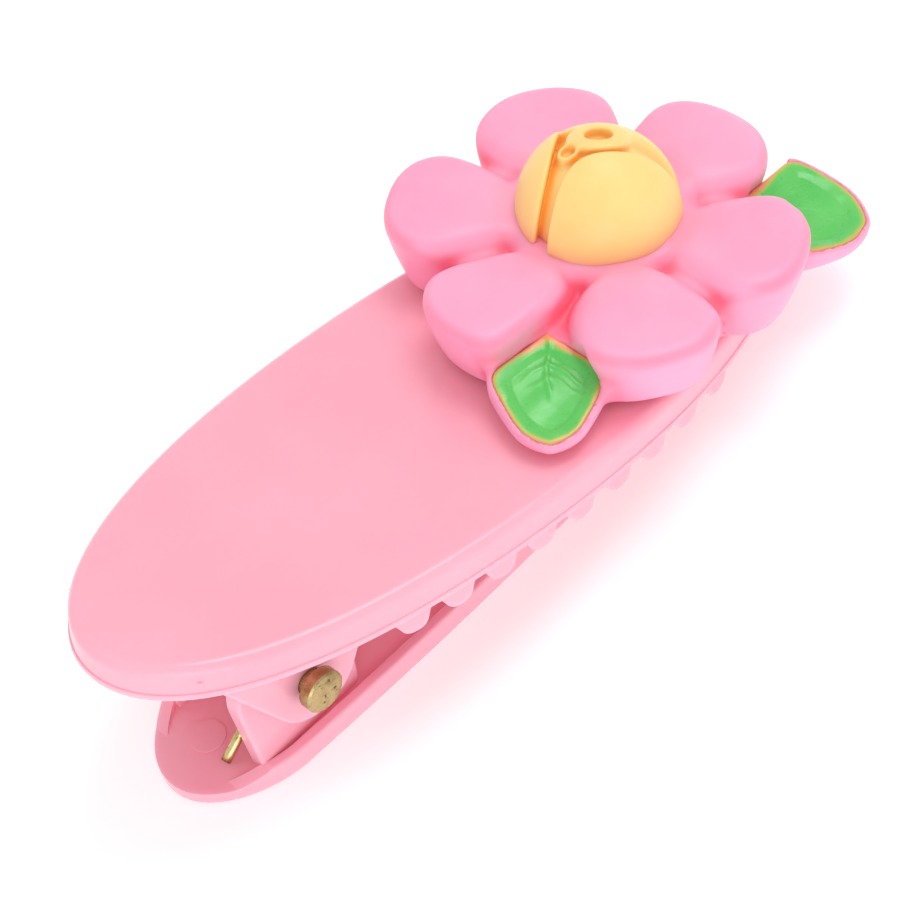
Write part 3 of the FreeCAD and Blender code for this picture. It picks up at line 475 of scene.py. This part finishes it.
def leaf_inset(p, leaf):
    """Distance inside a leaf's outline; negative outside it. One half of the outline is a row of
    straight edges from the inner corner to the blunt tip, each given by its end and its half width."""
    s, v = leaf_place(p, leaf)
    length, breadth = leaf[3:]
    half_widths = [(0.0, 0.0), (2.85, 3.68), (4.6, 3.32), (6.1, 2.55), (length, 1.35)]
    corners = [(along, half * breadth) for along, half in half_widths]
    found = None
    for (s0, v0), (s1, v1) in zip(corners, corners[1:]):
        reach = math.hypot(s1 - s0, v1 - v0)
        edge = ((s - s0) * (v1 - v0) - (np.abs(v) - v0) * (s1 - s0)) / reach
        found = edge if found is None else soft_min(found, edge, 0.25 if s1 < 4.5 else 0.9)
    return soft_min(found, length - s, 1.8)


def leaf_bleed(p, leaf):
    """Distance from where the green runs out, which is farther in at the inner corner."""
    s = leaf_place(p, leaf)[0]
    return leaf_inset(p, leaf) - 0.4 * np.exp(-(s / 1.6) ** 2)


def leaf_plane(p, leaf):
    """Height of the plane that a leaf's rim lies in; it slopes down outwards."""
    return LEAF_RISE - LEAF_FALL * leaf_place(p, leaf)[0]


def leaf_height(p, leaf):
    """Height of a leaf's top: a shallow dish with a midrib and short uneven veins."""
    s, v = leaf_place(p, leaf)
    inset = leaf_inset(p, leaf)
    dish = LEAF_DISH * np.clip(inset, 0, 1) ** 2
    inside = np.clip(inset / 0.6, 0, 1)
    rib = 0.10 * np.exp(-((v - 0.12 * np.sin(1.7 * s)) / 0.16) ** 2) * np.clip((4.9 - s) / 1.2, 0, 1)
    veins = 0.0
    for start, lean, depth in ((1.0, 0.55, 0.05), (1.9, 0.8, 0.09), (2.9, 0.65, 0.05)):
        line = (s - start) - lean * np.abs(v) - 0.1 * np.sin(3.1 * v + start)
        veins = veins + depth * np.exp(-(line / 0.17) ** 2) * np.clip(1.3 - 0.6 * np.abs(v - 0.3), 0, 1)
    flow = 0.05 * np.sin(1.9 * s + 0.6) * np.sin(2.3 * v + 1.0)
    return leaf_plane(p, leaf) - dish + (rib + veins + flow) * inside


def bed_field(p, leaf):
    """The pink pad a leaf lies in, with a narrow rim round it."""
    s = leaf_place(p, leaf)[0]
    outline = np.maximum(-LEAF_RIM - leaf_inset(p, leaf), 2.6 - s)
    lean = 0.04 * np.clip(leaf_plane(p, leaf) - p[:, 2], 0, 3) ** 2
    top = p[:, 2] - leaf_plane(p, leaf) - 0.02
    bottom = 0.35 - 0.05 * s - p[:, 2]
    return soft_max(soft_max(outline + lean, top, 0.35), bottom, 0.8)


def leaf_room(p, leaf):
    """The space over a leaf, which leans in under the petals beside it."""
    above = p[:, 2] - leaf_height(p, leaf)
    side = 0.42 * np.clip(above, 0, 5) - leaf_inset(p, leaf)
    return soft_max(side, -0.45 - above, 0.2)


def casting_field(p):
    """The pink casting: its base, petals and leaf beds, less the room for the leaves and the bud."""
    found = soft_max(np.hypot(p[:, 0], p[:, 1]) - DISC_RADIUS, p[:, 2] - DISC_TOP, 0.8)
    boss = soft_max(from_bud(p) - BOSS_RADIUS, p[:, 2] - BOSS_TOP, 1.2)
    found = soft_min(found, boss, 0.8)
    for row in PETALS:
        found = soft_min(found, petal_field(p, *row), 0.6)
    for leaf in LEAVES.values():
        found = soft_min(found, bed_field(p, leaf), 0.9)
    for leaf in LEAVES.values():
        found = soft_max(found, -leaf_room(p, leaf), 0.12)
    bud = np.linalg.norm(p - BUD_CENTRE, axis=1) - (BUD_CORE - 0.15)
    found = soft_max(found, -bud, 0.15)
    return soft_max(found, -p[:, 2], 0.25)


def leaf_field(leaf):
    """The field of one leaf."""
    def field(p):
        top = p[:, 2] - leaf_height(p, leaf)
        bottom = leaf_plane(p, leaf) - LEAF_THICK - p[:, 2]
        return soft_max(soft_max(-leaf_inset(p, leaf), top, 0.18), bottom, 0.1)
    return field


# The bud's layers: each petal is a cap of a ball beyond one or two planes. For each: the ball's radius,
# the rounding of the cap's edge and of the planes' corner, and the planes. A plane is given by the
# direction it faces and its distance from the middle as a share of the radius.
BUD_LAYERS = [
    (5.28, 0.16, 1.3, [((-0.56, -0.81, 0.15), 0.308), ((0.37, -0.93, -0.05), -0.269)]),
    (5.25, 0.40, 0.1, [((-0.55, 0.83, 0.12), 0.614)]),
    (5.12, 0.35, 0.1, [((0.08, 0.75, -0.66), -0.615), ((0.62, 0.20, -0.30), -0.10)]),
]


# The rolled middle, and a small curl beside it. For each: its centre, its radii, its wall, its top from
# the bud's middle, its turn and the floor of its hole.
BUD_ROLLS = [
    ((0.72, 0.66), (2.05, 1.6), 1.05, 5.26, -44, 4.2),
    ((-1.43, 1.17), (0.72, 0.72), 0.30, 5.22, 0, 4.2),
]


def upright_ring(q, centre, radii, wall, top, turn, floor):
    """A rolled edge standing up out of the bud, and the hole down its middle."""
    x, y = q[:, 0] - centre[0], q[:, 1] - centre[1]
    turn = math.radians(turn)
    a = (x * math.cos(turn) + y * math.sin(turn)) / radii[0]
    b = (y * math.cos(turn) - x * math.sin(turn)) / radii[1]
    side = (np.hypot(a, b) - 1) * sum(radii) / 2
    hole = soft_max(side + wall, floor - q[:, 2], 0.25)
    cap = np.linalg.norm(q, axis=1) - top
    return soft_max(soft_max(side, cap, 0.45), 2.0 - q[:, 2], 0.1), hole


def bud_field(p):
    """The bud: a core under overlapping petals, with the rolls standing out of its top."""
    q = p - BUD_CENTRE
    r = np.linalg.norm(q, axis=1)
    found = r - BUD_CORE
    for radius, edge, corner, planes in BUD_LAYERS:
        cut = None
        for facing, share in planes:
            n = np.array(facing) / np.linalg.norm(facing)
            one = share * radius - q @ n
            cut = one if cut is None else soft_max(cut, one, corner)
        found = soft_min(found, soft_max(r - radius, cut, edge), 0.10)
    for row in BUD_ROLLS:
        roll, hole = upright_ring(q, *row)
        found = soft_min(found, roll, 0.30)
        found = soft_max(found, -hole, 0.30)
    return soft_max(found, BUD_FLOOR - p[:, 2], 0.1)


def make_flower():
    """The casting, the bud and the two leaves, each cut from its field."""
    points, faces = surface(casting_field, (-17.8, -15.0, -0.35), (18.0, 15.0, 5.6), CASTING_GRID)
    casting = make_piece("flower", points, faces, FLOWER, "upper", PETAL,
                         hollow=hollow(casting_field, points))
    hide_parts("flower_casting")

    points, faces = surface(bud_field, (-4.9, -5.2, 1.8), (6.5, 6.1, 10.5), FINE_GRID)
    foot = np.clip((BUD_FOOT_TOP - points[:, 2]) / 1.5, 0, 1) ** 1.5 * 0.8
    bud = make_piece("rosebud", points, faces, FLOWER, "upper", BUD,
                     hollow=hollow(bud_field, points), foot=foot)
    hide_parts("bud")

    for name, leaf in LEAVES.items():
        field = leaf_field(leaf)
        x, y, turn = leaf[:3]
        a = math.radians(turn)
        middle = np.array([x + 4 * math.cos(a), y + 4 * math.sin(a)])
        points, faces = surface(field, (*(middle - 5.2), -0.4), (*(middle + 5.2), 3.6), FINE_GRID)
        green = make_piece(name.replace("leaf", "green"), points, faces, FLOWER, "upper", LEAF,
                           hollow=hollow(field, points), inset=leaf_bleed(points, leaf))
        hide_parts(name)


def make_glue():
    """A flattened ring of glue that bulges unevenly between the plate and the casting."""
    def field(p):
        r = np.hypot(p[:, 0], p[:, 1])
        a = np.arctan2(p[:, 1], p[:, 0])
        reach = 7.15 + 0.18 * np.sin(3 * a + 1.0) + 0.12 * np.sin(7 * a)
        side = r - reach + 0.9 * (p[:, 2] + 0.3) ** 2
        return soft_max(side, np.abs(p[:, 2] + 0.3) - 0.31, 0.08)
    points, faces = surface(field, (-7.9, -7.9, -0.8), (7.9, 7.9, 0.2), GLUE_GRID)
    glue = make_piece("glue", points, faces, FLOWER, "upper", GLUE)
    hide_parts("glue_pad")


# ---------------------------------------------------------------- the spring

WIRE_RADIUS = 0.325
COIL_RADIUS = 1.5
COIL_HALF_SPAN = 2.1
COIL_TURNS = 5
COIL_STEPS = 220
LEG_STEPS = 12
WIRE_SIDES = 14
# The lower leg ends this far behind the pin and this high above the floor. The upper one ends this far
# behind and above the pin, measured square to the plate.
LOW_REACH = 5.5
LOW_END = 1.535
HIGH_REACH = 6.0
HIGH_RISE = 5.675


def leg_slope(rise, reach):
    """The slope of a leg that is tangent to the coil and ends this far up or down, and back."""
    return math.atan2(rise, reach) - math.asin(COIL_RADIUS / math.hypot(reach, rise))


def spring_path():
    """The middle of the wire: a leg to the lower jaw, the coil round the pin, a leg to the upper."""
    pin_z = PIN.z / MM
    start = leg_slope(pin_z - LOW_END, LOW_REACH) - math.pi / 2
    end = math.pi / 2 - leg_slope(HIGH_RISE, HIGH_REACH) - TILT + COIL_TURNS * 2 * math.pi
    t = np.linspace(0, 1, COIL_STEPS + 1)
    a = start + (end - start) * t
    coil = np.stack([COIL_RADIUS * np.cos(a), COIL_HALF_SPAN * (2 * t - 1),
                     pin_z + COIL_RADIUS * np.sin(a)], 1)
    low = (-LOW_REACH, -COIL_HALF_SPAN, LOW_END)
    high = Matrix.Rotation(TILT, 3, "Y") @ Vector((-HIGH_REACH, COIL_HALF_SPAN, HIGH_RISE))
    high = (high.x, high.y, high.z + pin_z)
    return np.vstack([np.linspace(low, coil[0], LEG_STEPS)[:-1], coil,
                      np.linspace(coil[-1], high, LEG_STEPS)[1:]])


def wire_tube(path):
    """Points and faces of a closed tube along the path."""
    along = np.gradient(path, axis=0)
    along /= np.linalg.norm(along, axis=1)[:, None]
    side = np.array([0.0, 1.0, 0.0]) - along * along[:, 1:2]
    side /= np.linalg.norm(side, axis=1)[:, None]
    other = np.cross(along, side)
    ring = np.arange(WIRE_SIDES) * 2 * math.pi / WIRE_SIDES
    out = np.cos(ring)[None, :, None] * side[:, None] + np.sin(ring)[None, :, None] * other[:, None]
    points = (path[:, None] + WIRE_RADIUS * out).reshape(-1, 3)
    last = (len(path) - 1) * WIRE_SIDES
    faces = [(i + j, i + (j + 1) % WIRE_SIDES,
              i + WIRE_SIDES + (j + 1) % WIRE_SIDES, i + WIRE_SIDES + j)
             for i in range(0, last, WIRE_SIDES) for j in range(WIRE_SIDES)]
    faces.append(tuple(range(WIRE_SIDES))[::-1])
    faces.append(tuple(last + j for j in range(WIRE_SIDES)))
    return points, faces


def make_spring():
    points, faces = wire_tube(spring_path())
    spring = make_piece("spring", points, faces, ROW_FROM_MM, None, WIRE)
    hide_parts("torsion_spring")
    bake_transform(spring)


make_flower()
make_glue()
make_spring()
for node, m in (("upper_jaw", CLIP), ("lower_jaw", CLIP), ("hinge_pin", BRASS)):
    slots = frame["nodes"][node].data.materials
    slots.clear()
    slots.append(m)


# ---------------------------------------------------------------- the studio

def make_light(name, place, size, power):
    """A round soft light that faces the middle of the clip."""
    data = bpy.data.lights.new(name, "AREA")
    data.shape = "DISK"
    data.size = size
    data.energy = power
    light = bpy.data.objects.new(name, data)
    SCENE.collection.objects.link(light)
    where = Vector(place)
    light.matrix_world = (Matrix.Translation(where)
                          @ (Vector((0.015, 0, 0)) - where).to_track_quat("-Z", "Y").to_matrix().to_4x4())


FLOOR_GAP = 0.00003


def make_studio():
    """A pale floor that glows a little, a white surround, and two soft lights."""
    half = 3.0
    mesh = bpy.data.meshes.new("floor")
    mesh.from_pydata([(-half, -half, 0), (half, -half, 0), (half, half, 0), (-half, half, 0)], [],
                     [(0, 1, 2, 3)])
    floor = bpy.data.objects.new("floor", mesh)
    SCENE.collection.objects.link(floor)
    floor.location.z = -FLOOR_GAP
    m, shader = material("floor_white", (0.95, 0.95, 0.95, 1), 0.7)
    shader.inputs["Emission Color"].default_value = (1, 1, 1, 1)
    shader.inputs["Emission Strength"].default_value = 0.25
    floor.data.materials.append(m)
    world = bpy.data.worlds.new("studio")
    SCENE.world = world
    world.use_nodes = True
    back = world.node_tree.nodes["Background"]
    back.inputs[0].default_value = (1, 1, 1, 1)
    back.inputs[1].default_value = 0.80
    make_light("key", (0.30, -0.02, 0.55), 0.34, 1.1)
    make_light("fill", (-0.38, -0.42, 0.12), 0.50, 1.15)
    SCENE.view_settings.view_transform = "Standard"


make_studio()
